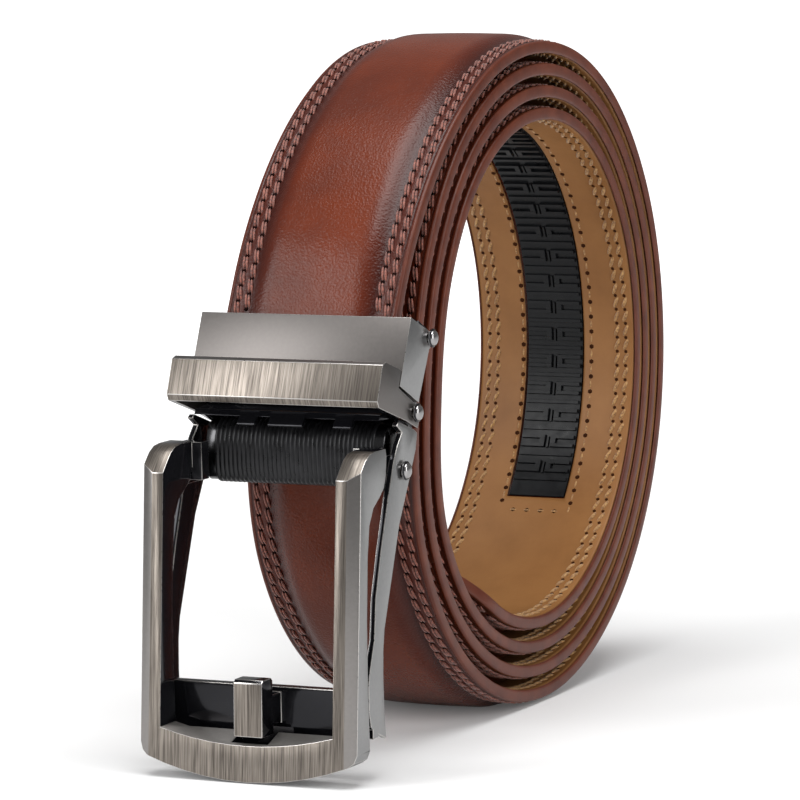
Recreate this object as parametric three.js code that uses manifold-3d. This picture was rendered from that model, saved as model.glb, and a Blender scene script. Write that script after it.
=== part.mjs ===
// Ratchet belt, coiled and standing on its edge of leather and on the foot of its buckle.
// Millimetres. X runs across the strap, -Y is the buckle's side and +Z is up.
// The origin is on the surface, under the middle of the coil.
import * as THREE from 'three';
import { mergeVertices } from 'three/addons/utils/BufferGeometryUtils.js';
import Module from 'manifold-3d';

// Strap
const strapWidth = 35;
const strapEdge = 2.4; // thickness at the stitched edges, lining included
const strapCrown = 1.4; // how far the padded middle stands proud of the edges
const padFlat = 19; // width of the pad's flat top
const padFoot = 24.8; // width of the pad where it meets the stitched edges
const edgeBevel = 0.35;
const rimWidth = 0.4; // painted rim that covers the lining's edge
const liningThickness = 0.8;
const layerGap = 0.15;

// Coil, by angles in degrees: 0 is the back, 90 the top, 180 the front
const coilRadius = 65;
const coilSweep = 1379;
const startAngle = 161;
const turnPitch = 4.5;
const pitchSwing = 0.4; // extra pitch where the turns hang slack
const slackAngle = -155;
const clampBulge = 4.2; // how far the first turn stands out to reach the clamp
const bulgeSweep = 45;
const footPress = 0.9; // how far the pad is pressed flat where the coil stands
const stepAngle = 9;
const tipSteps = 5;

// Slot and track, on the inner side
const slotWidth = 11.8;
const slotLength = 250;
const slotEndAngle = -40; // where the slot ends on the innermost turn
const trackPlay = 0.3;
const trackSeat = 0.25;
const trackBase = 0.35;
const toothHeight = 0.5;
const toothPitch = 5.8;

// Buckle: ears and plates
const buckleWidth = 43;
const earThickness = 1.1;
const sideGap = 0.3;
const plateThickness = 1.2;
const pinRadius = 1;
const pinPlay = 0.3;
const headRadius = 1.75;
const headHeight = 1.2;
const pinSides = 12;

// Places along the buckle, up from the frame pin, and out from the line of pins
const buckleTilt = 28.2; // degrees that the line of pins leans back
const loopPinRise = 11.3;
const clampPinRise = 26;
const strapStartRise = 32; // where the strap bends out of its straight end
const strapOut = 7.2; // the strap's outer face at its edges
const strapHeld = 17.3; // length of the straight end
const clampBottom = 13.4;
const clampTop = 26.4;
const clampOutTop = 8.8;
const clampOutBottom = 7.8;
const clampBack = 0.8;
const coverThickness = 0.8;
const loopBottom = 7.1;
const loopTop = 15.1;
const loopOut = 16;
const loopBack = 2.5;
const loopNotchGap = 0.5;
const baseBack = 2.9;
const baseThickness = 0.9;
const baseWebTop = 18;
const baseTopReach = 2.2; // past the clamp pin
const pawlReach = 8.2;
const pawlDrop = 4.4;
const pawlThickness = 1.2;
const pawlTab = 2.4;
const barWidth = buckleWidth - 6.4;
const ribbedWidth = barWidth - 4;
const barDepth = 7;
const barHeight = 12.1;
const barLift = 2.4; // the bar's middle above the frame pin
const barBack = 1.8; // the bar's middle behind the frame pin
const collarStep = 0.35;

// Front frame, which reaches down to the surface
const frameWidth = 44; // at its foot
const openingWidth = 35;
const bevelWidth = 2.3;
const bevelDepth = 1.1;
const frameLean = 4.6; // degrees
const frameFace = 23.8; // the face's foot, in front of the frame pin
const frameDepth = 6.6; // at its foot
const postDepth = 4.4;
const frameTopRise = 5; // top of the frame above the frame pin
const frameEarReach = 7.7; // from the frame pin to the back of the frame's wide top
const frameRound = 4.5; // height over which the face curves back at the top
const lowerBar = 9; // height of the lower bar's corners
const lowerBow = 4.4; // how far the lower bar is bowed
const ledgeBow = 2.4;
const ledgeSlope = 19; // degrees that the ledge rises to its back
const footCorner = 1.6;
const hingeEar = 3.1;
const lugWidth = 4.6;
const lugThickness = 2.4;
const lugHeight = 7.2;

// Back frame
const armFoot = 6.57; // height of the arms' tips
const crossbarHeight = 8.6;
const crossbarBottom = 7.6;
const crossbarFront = 8.7; // behind the front frame's face
const crossbarDepth = 2.2;
const lipDrop = 3.2; // how far the crossbar's lip hangs below it
const lipDepth = 1;
const prongWidth = 5.8;
const prongFront = 1.1; // behind the front frame's face
const prongBottom = 8;
const prongTop = 18.4;
const prongBlock = 4.6; // depth of the block at the prong's end
const notchPlay = 0.8;
const notchSlope = 28; // degrees

const wasm = await Module();
wasm.setup();

const halfStrap = strapWidth / 2;
const earOuter = buckleWidth / 2;
const earInner = earOuter - earThickness;
const radians = THREE.MathUtils.degToRad;
const leather = new THREE.MeshStandardMaterial({ color: 0x7a3d22, roughness: 0.4 });
const tan = new THREE.MeshStandardMaterial({ color: 0xa5784b, roughness: 0.7 });
const plastic = new THREE.MeshStandardMaterial({ color: 0x1b1c1d, roughness: 0.5 });
const gunmetal = new THREE.MeshStandardMaterial({ color: 0x77736f, roughness: 0.3, metalness: 1 });
const blackMetal = new THREE.MeshStandardMaterial({ color: 0x15151a, roughness: 0.2, metalness: 1 });

const group = new THREE.Group();
group.name = 'ratchet_belt';

function addMesh(name, geometry, material) {
  const mesh = new THREE.Mesh(geometry, material);
  mesh.name = name;
  group.add(mesh);
  return mesh;
}

// A closed geometry as a solid that can be cut and joined
function toSolid(geometry) {
  const bare = geometry.clone();
  bare.deleteAttribute('normal');
  bare.deleteAttribute('uv');
  const merged = mergeVertices(bare, 1e-4);
  return new wasm.Manifold(new wasm.Mesh({
    numProp: 3,
    vertProperties: new Float32Array(merged.attributes.position.array),
    triVerts: new Uint32Array(merged.index.array),
  }));
}

function toGeometry(solid) {
  const mesh = solid.getMesh();
  const geometry = new THREE.BufferGeometry();
  geometry.setAttribute('position', new THREE.BufferAttribute(new Float32Array(mesh.vertProperties), 3));
  geometry.setIndex(new THREE.BufferAttribute(new Uint32Array(mesh.triVerts), 1));
  return geometry;
}

// The coil: the outer face of the strap's edge, with the coil's middle at y = 0

// How far that face lies from the middle, round the coil, in shares of coilRadius
const coilShape = [
  { angle: -180, share: 0.945 },
  { angle: -150, share: 1.022 },
  { angle: -120, share: 1.049 },
  { angle: -90, share: 1.041 },
  { angle: -60, share: 1.017 },
  { angle: -30, share: 0.997 },
  { angle: 0, share: 0.988 },
  { angle: 30, share: 1.000 },
  { angle: 60, share: 1.010 },
  { angle: 90, share: 0.995 },
  { angle: 120, share: 0.972 },
  { angle: 150, share: 0.945 },
];
const shapeCurve = new THREE.CatmullRomCurve3(
  coilShape.map((row) => new THREE.Vector3(row.share, 0, 0)), true, 'catmullrom', 0.5);

function shapeAt(angle) {
  const turn = THREE.MathUtils.euclideanModulo(angle - coilShape[0].angle, 360) / 360;
  return shapeCurve.getPoint(turn).x * coilRadius;
}

function pitchAt(angle) {
  return turnPitch + pitchSwing * Math.cos(radians(angle - slackAngle));
}

function radiusAt(swept) {
  const angle = startAngle - swept;
  const left = Math.max(0, 1 - swept / bulgeSweep);
  return shapeAt(angle) - pitchAt(angle) * swept / 360 + clampBulge * left ** 1.6;
}

const coilHeight = radiusAt(startAngle + 90) + strapCrown - footPress;

function coilPoint(swept) {
  const angle = radians(startAngle - swept);
  const radius = radiusAt(swept);
  return new THREE.Vector2(Math.cos(angle) * radius, coilHeight + Math.sin(angle) * radius);
}

// Place and outward direction of the strap's outer face
function coilFrame(swept) {
  const nudge = 0.5;
  const along = coilPoint(swept + nudge).sub(coilPoint(swept - nudge)).normalize();
  return { place: coilPoint(swept), out: new THREE.Vector2(-along.y, along.x), along };
}

function startFrame(before) {
  const frame = coilFrame(0);
  return { ...frame, place: frame.place.clone().addScaledVector(frame.along, -before) };
}

// A point across the strap: x from the middle line, lift from the outer face of the edge
function strapPoint(frame, x, lift) {
  const place = frame.place.clone().addScaledVector(frame.out, lift);
  return new THREE.Vector3(x, place.x, place.y);
}

// A solid through like sections, each a ring of points
function loft(section, rings) {
  const count = section.length;
  const points = rings.flat();
  const index = [];
  for (let ring = 0; ring + 1 < rings.length; ring += 1) {
    for (let side = 0; side < count; side += 1) {
      const a = ring * count + side;
      const b = ring * count + (side + 1) % count;
      index.push(a, b, b + count, a, b + count, a + count);
    }
  }
  const last = (rings.length - 1) * count;
  for (const [a, b, c] of THREE.ShapeUtils.triangulateShape(section, [])) {
    index.push(a, b, c);
    index.push(last + a, last + c, last + b);
  }
  const geometry = new THREE.BufferGeometry().setFromPoints(points);
  geometry.setIndex(index);
  return geometry;
}

// A band along the strap. Each station has a frame, a width share, and a lift for the section's crown.
function band(section, stations) {
  const outline = section.map((point) => new THREE.Vector2(point.x, point.lift));
  const turned = THREE.ShapeUtils.area(outline) > 0;
  const ordered = turned ? section.slice().reverse() : section;
  const rings = stations.map((station) => ordered.map((point) => {
    const lift = point.lift > 0 ? point.lift * station.crown : point.lift;
    const spot = strapPoint(station.frame, point.x * station.width, lift);
    spot.z = Math.max(spot.z, 0);
    return spot;
  }));
  return loft(ordered.map((point) => new THREE.Vector2(point.x, point.lift)), rings);
}

// Stations from the clamped end to the round tail
function strapStations() {
  const stations = [];
  for (const part of [1, 0.5, 0.2]) {
    stations.push({ frame: startFrame(strapHeld * part), width: 1, crown: 0.6 - 0.5 * part });
  }
  const tipSweep = halfStrap / radiusAt(coilSweep) * 180 / Math.PI;
  const roundStart = coilSweep - tipSweep;
  for (let swept = 0; swept < roundStart - stepAngle / 3; swept += stepAngle) {
    stations.push({ frame: coilFrame(swept), width: 1, crown: Math.min(1, 0.6 + 2 * swept / bulgeSweep) });
  }
  for (let step = 0; step < tipSteps; step += 1) {
    const lean = step / tipSteps * Math.PI / 2;
    stations.push({
      frame: coilFrame(roundStart + tipSweep * Math.sin(lean)),
      width: Math.cos(lean),
      crown: Math.cos(lean) ** 2,
    });
  }
  return stations;
}

function mirrored(half) {
  return half.concat(half.slice().reverse().map((point) => ({ x: -point.x, lift: point.lift })));
}

function makeStrap() {
  const under = -(strapEdge - liningThickness - layerGap);
  const section = mirrored([
    { x: padFlat / 2, lift: strapCrown },
    { x: padFoot / 2, lift: 0 },
    { x: halfStrap - edgeBevel, lift: 0 },
    { x: halfStrap, lift: -edgeBevel },
    { x: halfStrap, lift: -strapEdge },
    { x: halfStrap - rimWidth, lift: -strapEdge },
    { x: halfStrap - rimWidth, lift: under },
  ]);
  addMesh('strap', band(section, strapStations()), leather);
}

const slotEnd = startAngle - slotEndAngle + 1080;
const slotSweep = slotLength / radiusAt(slotEnd) * 180 / Math.PI;

function stationsBetween(from, to, step) {
  const stations = [];
  for (let swept = from; swept < to - step / 2; swept += step) {
    stations.push({ frame: coilFrame(swept), width: 1, crown: 1 });
  }
  stations.push({ frame: coilFrame(to), width: 1, crown: 1 });
  return stations;
}

function boxSection(width, top, bottom) {
  return mirrored([{ x: width / 2, lift: top }, { x: width / 2, lift: bottom }]);
}

function makeLining() {
  const width = strapWidth - 2 * (rimWidth + layerGap);
  const sheet = band(boxSection(width, -(strapEdge - liningThickness), -strapEdge), strapStations());
  const slot = band(boxSection(slotWidth, -(strapEdge - 2 * liningThickness), -2 * strapEdge),
    stationsBetween(slotEnd - slotSweep, slotEnd, stepAngle));
  addMesh('lining', toGeometry(toSolid(sheet).subtract(toSolid(slot))), tan);
}

// The track's teeth: a low land, a steep face and a high land in each pitch
function makeTrack() {
  const toothSweep = toothPitch / slotLength * slotSweep;
  const endPlay = toothSweep * 0.15;
  const profile = [
    { share: 0, high: false },
    { share: 0.42, high: false },
    { share: 0.5, high: true },
    { share: 0.92, high: true },
  ];
  const top = -(strapEdge - liningThickness + trackSeat);
  const low = boxSection(slotWidth - 2 * trackPlay, top, top - trackBase);
  const teeth = Math.floor((slotSweep - 2 * endPlay) / toothSweep);
  const rings = [];
  for (let tooth = 0; tooth < teeth; tooth += 1) {
    for (const row of profile) {
      const frame = coilFrame(slotEnd - slotSweep + endPlay + (tooth + row.share) * toothSweep);
      rings.push(low.map((point) => {
        const deep = point.lift < top && row.high;
        return strapPoint(frame, point.x, point.lift - (deep ? toothHeight : 0));
      }));
    }
  }
  addMesh('ratchet_track', loft(low.map((point) => new THREE.Vector2(point.x, point.lift)), rings), plastic);
}

makeStrap();
makeLining();
makeTrack();

// The buckle hangs on the strap's straight end. Its own directions are up the line of pins and out from it.
const start = startFrame(0);
const up = new THREE.Vector2(Math.sin(radians(buckleTilt)), Math.cos(radians(buckleTilt)));
const out = new THREE.Vector2(-up.y, up.x);
const framePin = start.place.clone().addScaledVector(up, -strapStartRise).addScaledVector(out, -strapOut);

function at(outward, rise) {
  return framePin.clone().addScaledVector(out, outward).addScaledVector(up, rise);
}

// A plate with its outline in the side view, from x0 to x1
function sidePlate(points, x0, x1) {
  const shape = new THREE.Shape(points);
  const geometry = new THREE.ExtrudeGeometry(shape, { depth: x1 - x0, bevelEnabled: false });
  const turn = new THREE.Matrix4().makeBasis(
    new THREE.Vector3(0, 1, 0), new THREE.Vector3(0, 0, 1), new THREE.Vector3(1, 0, 0));
  return toSolid(geometry.applyMatrix4(turn).translate(x0, 0, 0));
}

// A plate with its outline in the front view, from y0 back to y1
function frontPlate(points, y0, y1) {
  const shape = new THREE.Shape(points);
  const geometry = new THREE.ExtrudeGeometry(shape, { depth: y1 - y0, bevelEnabled: false });
  const turn = new THREE.Matrix4().makeBasis(
    new THREE.Vector3(1, 0, 0), new THREE.Vector3(0, 0, 1), new THREE.Vector3(0, -1, 0));
  return toSolid(geometry.applyMatrix4(turn).translate(0, y1, 0));
}

function bothSides(points, inner, outer) {
  return sidePlate(points, inner, outer).add(sidePlate(points, -outer, -inner));
}

function rodAlongX(centre, radius, halfLength) {
  const geometry = new THREE.CylinderGeometry(radius, radius, 2 * halfLength, pinSides);
  geometry.rotateZ(Math.PI / 2).translate(0, centre.x, centre.y);
  return toSolid(geometry);
}

function pinHole(centre) {
  return rodAlongX(centre, pinRadius + pinPlay, buckleWidth);
}

function makePin(name, rise) {
  const seat = earOuter + sideGap;
  const half = [
    new THREE.Vector2(pinRadius, 0),
    new THREE.Vector2(pinRadius, seat),
    new THREE.Vector2(headRadius, seat),
    new THREE.Vector2(headRadius, seat + headHeight * 0.45),
    new THREE.Vector2(headRadius * 0.72, seat + headHeight * 0.85),
    new THREE.Vector2(0, seat + headHeight),
  ];
  const other = half.slice(1).reverse().map((point) => new THREE.Vector2(point.x, -point.y));
  const geometry = new THREE.LatheGeometry(other.concat(half.slice(1)), pinSides);
  const centre = at(0, rise);
  geometry.rotateZ(-Math.PI / 2).translate(0, centre.x, centre.y);
  addMesh(name, toGeometry(toSolid(geometry)), gunmetal);
}

makePin('frame_pin', 0);
makePin('loop_pin', loopPinRise);
makePin('clamp_pin', clampPinRise);

function makeClampCover() {
  const outline = [
    at(clampOutBottom, clampBottom),
    at(clampOutTop, clampTop),
    at(-clampBack, clampTop + 0.8),
    at(-clampBack - 1.2, clampPinRise),
    at(-clampBack, clampPinRise - 2),
    at(-clampBack, clampBottom + 0.2),
  ];
  const hollow = [
    at(clampOutBottom - coverThickness - 1, clampBottom - 9),
    at(clampOutBottom - coverThickness, clampBottom),
    at(clampOutTop - coverThickness, clampTop),
    at(clampOutTop - coverThickness + 1, clampTop + 9),
    at(-3 * clampOutTop, clampTop + 9),
    at(-3 * clampOutTop, clampBottom - 9),
  ];
  const cover = sidePlate(outline, -earOuter, earOuter)
    .subtract(sidePlate(hollow, -earInner, earInner))
    .subtract(pinHole(at(0, clampPinRise)));
  addMesh('clamp_cover', toGeometry(cover), gunmetal);
}

function makeKeeperLoop() {
  const notchBottom = clampBottom - loopNotchGap;
  const notchOut = clampOutBottom + sideGap;
  const outline = [
    at(loopOut - 1.9, loopBottom - 0.5),
    at(loopOut - 0.8, loopBottom + 0.3),
    at(loopOut, loopTop - 0.9),
    at(loopOut - 0.9, loopTop),
    at(notchOut + 0.2, loopTop + 1.2),
    at(notchOut, notchBottom),
    at(0.7, notchBottom),
    at(-loopBack, loopPinRise - 0.6),
    at(-loopBack, loopBottom + 2.1),
    at(2.4, loopBottom + 1.6),
  ];
  const inside = loopOut - plateThickness;
  const hollow = [
    at(inside - 1.7, 0),
    at(inside - 0.8, loopBottom + 0.3),
    at(inside, loopTop - 0.9),
    at(inside, clampTop),
    at(-inside, clampTop),
    at(-inside, 0),
  ];
  const loop = sidePlate(outline, -earOuter, earOuter)
    .subtract(sidePlate(hollow, -earInner, earInner))
    .subtract(pinHole(at(0, loopPinRise)));
  addMesh('keeper_loop', toGeometry(loop), gunmetal);
}

function makeBasePlate() {
  const outer = earInner - sideGap;
  const inner = outer - baseThickness;
  const bottom = loopBottom + 1.3;
  const top = clampPinRise + baseTopReach;
  const outline = [
    at(-baseBack, bottom),
    at(baseBack, bottom),
    at(baseBack, top),
    at(baseThickness - baseBack, top),
    at(baseThickness - baseBack, baseWebTop + 0.6),
    at(-baseBack, baseWebTop),
  ];
  const inside = baseThickness - baseBack;
  const hollow = [
    at(inside, 0),
    at(2 * baseBack, 0),
    at(2 * baseBack, 2 * clampTop),
    at(inside, 2 * clampTop),
  ];
  const base = sidePlate(outline, -outer, outer)
    .subtract(sidePlate(hollow, -inner, inner))
    .subtract(pinHole(at(0, loopPinRise)))
    .subtract(pinHole(at(0, clampPinRise)));
  addMesh('base_plate', toGeometry(base), blackMetal);
}

function makePawlPlate() {
  const halfPlate = earInner - sideGap - baseThickness - sideGap;
  const ring = pinRadius + pinPlay + 0.4;
  const low = loopPinRise - pawlDrop;
  const plate = [
    at(0, loopPinRise - ring),
    at(ring, loopPinRise - ring),
    at(pawlReach, low - pawlThickness / 2),
    at(pawlReach, low + pawlThickness / 2),
    at(ring, loopPinRise + pawlThickness / 2),
    at(0, loopPinRise + ring),
    at(-ring, loopPinRise + ring / 2),
    at(-ring, loopPinRise - ring / 2),
  ];
  const tab = [
    at(pawlReach - pawlThickness, low),
    at(pawlReach - pawlThickness + 1, low - pawlTab),
    at(pawlReach + 0.6, low - pawlTab),
    at(pawlReach, low + pawlThickness / 2),
  ];
  // Across the buckle, in shares of its width
  const tabs = [
    { middle: 0.01, width: 0.163 },
    { middle: -0.177, width: 0.084 },
    { middle: 0.279, width: 0.084 },
  ];
  let pawl = sidePlate(plate, -halfPlate, halfPlate);
  for (const row of tabs) {
    const from = (row.middle - row.width / 2) * buckleWidth;
    pawl = pawl.add(sidePlate(tab, from, from + row.width * buckleWidth));
  }
  addMesh('pawl_plate', toGeometry(pawl.subtract(pinHole(at(0, loopPinRise)))), blackMetal);
}

function makeRibbedBar() {
  const middle = at(0, 0).add(new THREE.Vector2(barBack, barLift));
  const section = [
    { back: -0.5, rise: -0.28 },
    { back: -0.34, rise: -0.5 },
    { back: 0.5, rise: -0.5 },
    { back: 0.5, rise: 0.3 },
    { back: 0.25, rise: 0.5 },
    { back: -0.05, rise: 0.5 },
    { back: -0.36, rise: 0.38 },
    { back: -0.5, rise: 0.16 },
  ];
  const outline = (inset) => section.map((row) => new THREE.Vector2(
    middle.x + row.back * (barDepth - 2 * inset), middle.y + row.rise * (barHeight - 2 * inset)));
  const bar = sidePlate(outline(0), -ribbedWidth / 2, ribbedWidth / 2)
    .add(sidePlate(outline(collarStep), -barWidth / 2, barWidth / 2))
    .subtract(pinHole(at(0, 0)));
  addMesh('ribbed_bar', toGeometry(bar), blackMetal);
}

makeClampCover();
makeKeeperLoop();
makeBasePlate();
makePawlPlate();
makeRibbedBar();

// The front frame's face leans back as it rises
const faceFoot = framePin.x - frameFace;
const frameTop = framePin.y + frameTopRise;
const leanShift = Math.tan(radians(frameLean));

function faceAt(height) {
  return faceFoot + leanShift * height;
}

// The frame's side view: the face, its curl at the top, the wide top, and the posts' back
function frameSide() {
  const curlFoot = frameTop - frameRound;
  const earBack = framePin.x - frameEarReach;
  const post = (share, depth) => new THREE.Vector2(faceAt(frameTop * share) + depth, frameTop * share);
  const curl = (back, drop) => new THREE.Vector2(
    faceAt(curlFoot) + back * frameRound, frameTop - drop * frameRound);
  const ear = (front, share) => new THREE.Vector2(earBack - front, frameTop * share);
  return [
    new THREE.Vector2(faceAt(0), -1),
    new THREE.Vector2(faceAt(0) + frameDepth, -1),
    post(0.1, frameDepth - 0.2),
    post(0.32, frameDepth - 1.5),
    post(0.5, postDepth),
    post(0.68, postDepth - 0.1),
    post(0.78, postDepth + 0.4),
    ear(5.8, 0.83),
    ear(3.2, 0.858),
    ear(1.3, 0.882),
    ear(0.4, 0.92),
    ear(0, 0.975),
    ear(0.3, 1),
    curl(1.57, 0),
    curl(1.1, 0.06),
    curl(0.7, 0.27),
    curl(0.34, 0.62),
    curl(0, 1),
  ];
}

// The U seen from the front, with a bowed lower bar
function frameFront() {
  const half = frameWidth / 2;
  const inner = openingWidth / 2;
  const steps = 10;
  const shape = [];
  for (let step = 0; step <= steps; step += 1) {
    const across = (-1 + 2 * step / steps) * (half - footCorner);
    shape.push(new THREE.Vector2(across, lowerBow * (across / half) ** 2));
  }
  shape.push(new THREE.Vector2(half - footCorner / 3, lowerBow + footCorner * 0.1));
  shape.push(new THREE.Vector2(half, lowerBow + footCorner));
  shape.push(new THREE.Vector2(half, frameTop + 1));
  shape.push(new THREE.Vector2(inner, frameTop + 1));
  for (let step = steps; step >= 0; step -= 1) {
    const across = -1 + 2 * step / steps;
    shape.push(new THREE.Vector2(across * inner, lowerBar - ledgeBow * (1 - across ** 2)));
  }
  shape.push(new THREE.Vector2(-inner, frameTop + 1));
  shape.push(new THREE.Vector2(-half, frameTop + 1));
  shape.push(new THREE.Vector2(-half, lowerBow + footCorner));
  shape.push(new THREE.Vector2(footCorner / 3 - half, lowerBow + footCorner * 0.1));
  return shape;
}

// What the bevel takes off the outer front corner of one post, leaning with the face
function bevelCut(side) {
  const half = frameWidth / 2;
  const outline = [
    new THREE.Vector2(side * (half - 2 * bevelWidth), -bevelDepth),
    new THREE.Vector2(side * (half + bevelWidth), -bevelDepth),
    new THREE.Vector2(side * (half + bevelWidth), 2 * bevelDepth),
  ];
  const geometry = new THREE.ExtrudeGeometry(
    new THREE.Shape(outline), { depth: 2 * frameTop, bevelEnabled: false });
  const lean = new THREE.Matrix4().set(
    1, 0, 0, 0,
    0, 1, leanShift, faceFoot,
    0, 0, 1, 0,
    0, 0, 0, 1);
  return toSolid(geometry.translate(0, 0, -2).applyMatrix4(lean));
}

function ringAround(centre, radius) {
  const points = [];
  for (let side = 0; side < pinSides; side += 1) {
    const angle = side / pinSides * Math.PI * 2;
    points.push(new THREE.Vector2(centre.x + Math.cos(angle) * radius, centre.y + Math.sin(angle) * radius));
  }
  return points;
}

// A block in the side view, between two depths and two heights
function sideBlock(front, back, bottom, top) {
  return [
    new THREE.Vector2(front, bottom),
    new THREE.Vector2(back, bottom),
    new THREE.Vector2(back, top),
    new THREE.Vector2(front, top),
  ];
}

function makeFrontFrame() {
  const body = sidePlate(frameSide(), -frameWidth / 2, frameWidth / 2)
    .intersect(frontPlate(frameFront(), faceFoot - frameDepth, framePin.x))
    .subtract(bevelCut(1))
    .subtract(bevelCut(-1));
  const earOut = earInner - sideGap;
  const earIn = earOut - plateThickness;
  const earBack = framePin.x - frameEarReach;
  const link = sideBlock(earBack - 1, framePin.x, framePin.y - hingeEar, framePin.y + hingeEar);
  const lug = sideBlock(earBack - 0.4, earBack + lugThickness, frameTop - lugHeight, frameTop - 0.2);
  const ledgeFront = faceAt(lowerBar - ledgeBow) + 0.5;
  const ledgeDepth = frameDepth - 1;
  const ledgeLow = lowerBar - ledgeBow - 0.2;
  const ledge = [
    new THREE.Vector2(ledgeFront, ledgeLow),
    new THREE.Vector2(ledgeFront + ledgeDepth, ledgeLow - 1),
    new THREE.Vector2(ledgeFront + ledgeDepth, ledgeLow + ledgeDepth * Math.tan(radians(ledgeSlope))),
  ];
  const notchFront = faceAt(prongBottom) + prongFront - notchPlay;
  const notchBottom = prongBottom - 0.5;
  const notchFall = 2 * frameDepth * Math.tan(radians(notchSlope));
  const notch = [
    new THREE.Vector2(notchFront, prongTop),
    new THREE.Vector2(notchFront, notchBottom),
    new THREE.Vector2(notchFront + 2 * frameDepth, notchBottom - notchFall),
    new THREE.Vector2(notchFront + 2 * frameDepth, prongTop),
  ];
  const notchHalf = prongWidth / 2 + notchPlay;
  const frame = body
    .add(bothSides(link, earIn, earOut))
    .add(bothSides(ringAround(framePin, hingeEar), earIn, earOut))
    .add(bothSides(lug, earOut - lugWidth, earOut))
    .add(sidePlate(ledge, -openingWidth / 2, openingWidth / 2))
    .subtract(sidePlate(notch, -notchHalf, notchHalf))
    .subtract(pinHole(framePin));
  addMesh('front_frame', toGeometry(frame), gunmetal);
}

// The arms in the side view, down the front and up the back, from the frame pin in shares of their length
const armShape = [
  { back: -0.027, rise: 0.188 },
  { back: -0.046, rise: 0.175 },
  { back: 0, rise: 0.144 },
  { back: -0.04, rise: 0.102 },
  { back: -0.075, rise: 0.046 },
  { back: -0.135, rise: -0.094 },
  { back: -0.204, rise: -0.283 },
  { back: -0.256, rise: -0.452 },
  { back: -0.275, rise: -0.606 },
  { back: -0.323, rise: -0.729 },
  { back: -0.333, rise: -0.771 },
  { back: -0.331, rise: -0.879 },
  { back: -0.319, rise: -0.929 },
  { back: -0.281, rise: -0.956 },
  { back: -0.19, rise: -0.994 },
  { back: -0.2, rise: -0.902 },
  { back: -0.204, rise: -0.771 },
  { back: -0.2, rise: -0.663 },
  { back: -0.185, rise: -0.577 },
  { back: -0.144, rise: -0.471 },
  { back: -0.104, rise: -0.363 },
  { back: -0.042, rise: -0.206 },
  { back: 0.002, rise: -0.133 },
  { back: 0.046, rise: -0.058 },
  { back: 0.092, rise: 0.023 },
  { back: 0.117, rise: 0.067 },
  { back: 0.133, rise: 0.129 },
  { back: 0.106, rise: 0.144 },
];

function makeBackFrame() {
  const armLength = framePin.y - armFoot;
  const arm = armShape.map((row) => new THREE.Vector2(
    framePin.x + row.back * armLength, framePin.y + row.rise * armLength));
  const barFront = faceAt(crossbarBottom) + crossbarFront;
  const barTop = crossbarBottom + crossbarHeight;
  const bar = sideBlock(barFront, barFront + crossbarDepth, crossbarBottom, barTop);
  const lip = sideBlock(barFront, barFront + lipDepth, crossbarBottom - lipDrop, crossbarBottom + 1);
  const front = faceAt(prongBottom) + prongFront;
  const block = front + prongBlock;
  const stem = barFront + 0.5;
  const prong = [
    new THREE.Vector2(front, prongBottom),
    new THREE.Vector2(block, prongBottom),
    new THREE.Vector2(block, prongBottom + 1.6),
    new THREE.Vector2(stem, prongBottom + 1.6),
    new THREE.Vector2(stem, barTop - 1),
    new THREE.Vector2(block, barTop - 1),
    new THREE.Vector2(block, prongTop - 0.6),
    new THREE.Vector2(block - 0.6, prongTop),
    new THREE.Vector2(front + 0.9, prongTop),
    new THREE.Vector2(front + 0.3, prongTop - 0.6),
  ];
  const frame = bothSides(arm, earInner, earOuter)
    .add(sidePlate(bar, -earOuter, earOuter))
    .add(sidePlate(lip, sideGap - openingWidth / 2, openingWidth / 2 - sideGap))
    .add(sidePlate(prong, -prongWidth / 2, prongWidth / 2))
    .subtract(pinHole(framePin));
  addMesh('back_frame', toGeometry(frame), blackMetal);
}

makeFrontFrame();
makeBackFrame();

export default group;
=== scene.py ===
import bpy
import math
import numpy as np
from mathutils import Matrix, Vector


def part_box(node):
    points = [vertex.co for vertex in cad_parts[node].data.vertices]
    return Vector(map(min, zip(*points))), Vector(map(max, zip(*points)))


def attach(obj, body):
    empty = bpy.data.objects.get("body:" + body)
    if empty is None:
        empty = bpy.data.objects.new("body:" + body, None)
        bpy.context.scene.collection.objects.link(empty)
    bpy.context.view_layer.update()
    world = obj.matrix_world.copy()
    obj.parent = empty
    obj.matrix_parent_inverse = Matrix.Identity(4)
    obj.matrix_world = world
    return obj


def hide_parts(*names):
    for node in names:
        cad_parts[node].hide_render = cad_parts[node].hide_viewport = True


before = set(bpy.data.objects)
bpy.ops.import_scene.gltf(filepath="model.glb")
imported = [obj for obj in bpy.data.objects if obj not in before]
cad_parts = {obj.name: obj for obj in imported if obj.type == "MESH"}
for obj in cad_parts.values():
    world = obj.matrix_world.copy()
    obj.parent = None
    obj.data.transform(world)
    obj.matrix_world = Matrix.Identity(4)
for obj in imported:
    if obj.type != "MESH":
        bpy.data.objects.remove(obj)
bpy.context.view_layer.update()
bpy.ops.object.select_all(action='DESELECT')
mm = 0.001


# camera, in the part's own frame
photoCamera = {
    "right": (0.9005081, 0.4343405, -0.0208214),
    "up": (-0.0327054, 0.1153993, 0.9927806),
    "back": (0.4336076, -0.8933260, 0.1181233),
    "place": (0.402769, -0.856646, 0.171388),
    "lens": 218.68, "sensor": 36, "near": 0.05, "far": 60,
}


def addCamera(settings):
    data = bpy.data.cameras.new("camera")
    camera = bpy.data.objects.new("camera", data)
    bpy.context.collection.objects.link(camera)
    axes = Matrix((settings["right"], settings["up"], settings["back"])).transposed()
    camera.matrix_world = Matrix.Translation(settings["place"]) @ axes.to_4x4()
    data.lens = settings["lens"]
    data.sensor_width = settings["sensor"]
    data.clip_start = settings["near"]
    data.clip_end = settings["far"]
    bpy.context.scene.camera = camera


addCamera(photoCamera)
print("camera set")


# helpers for materials

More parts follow.
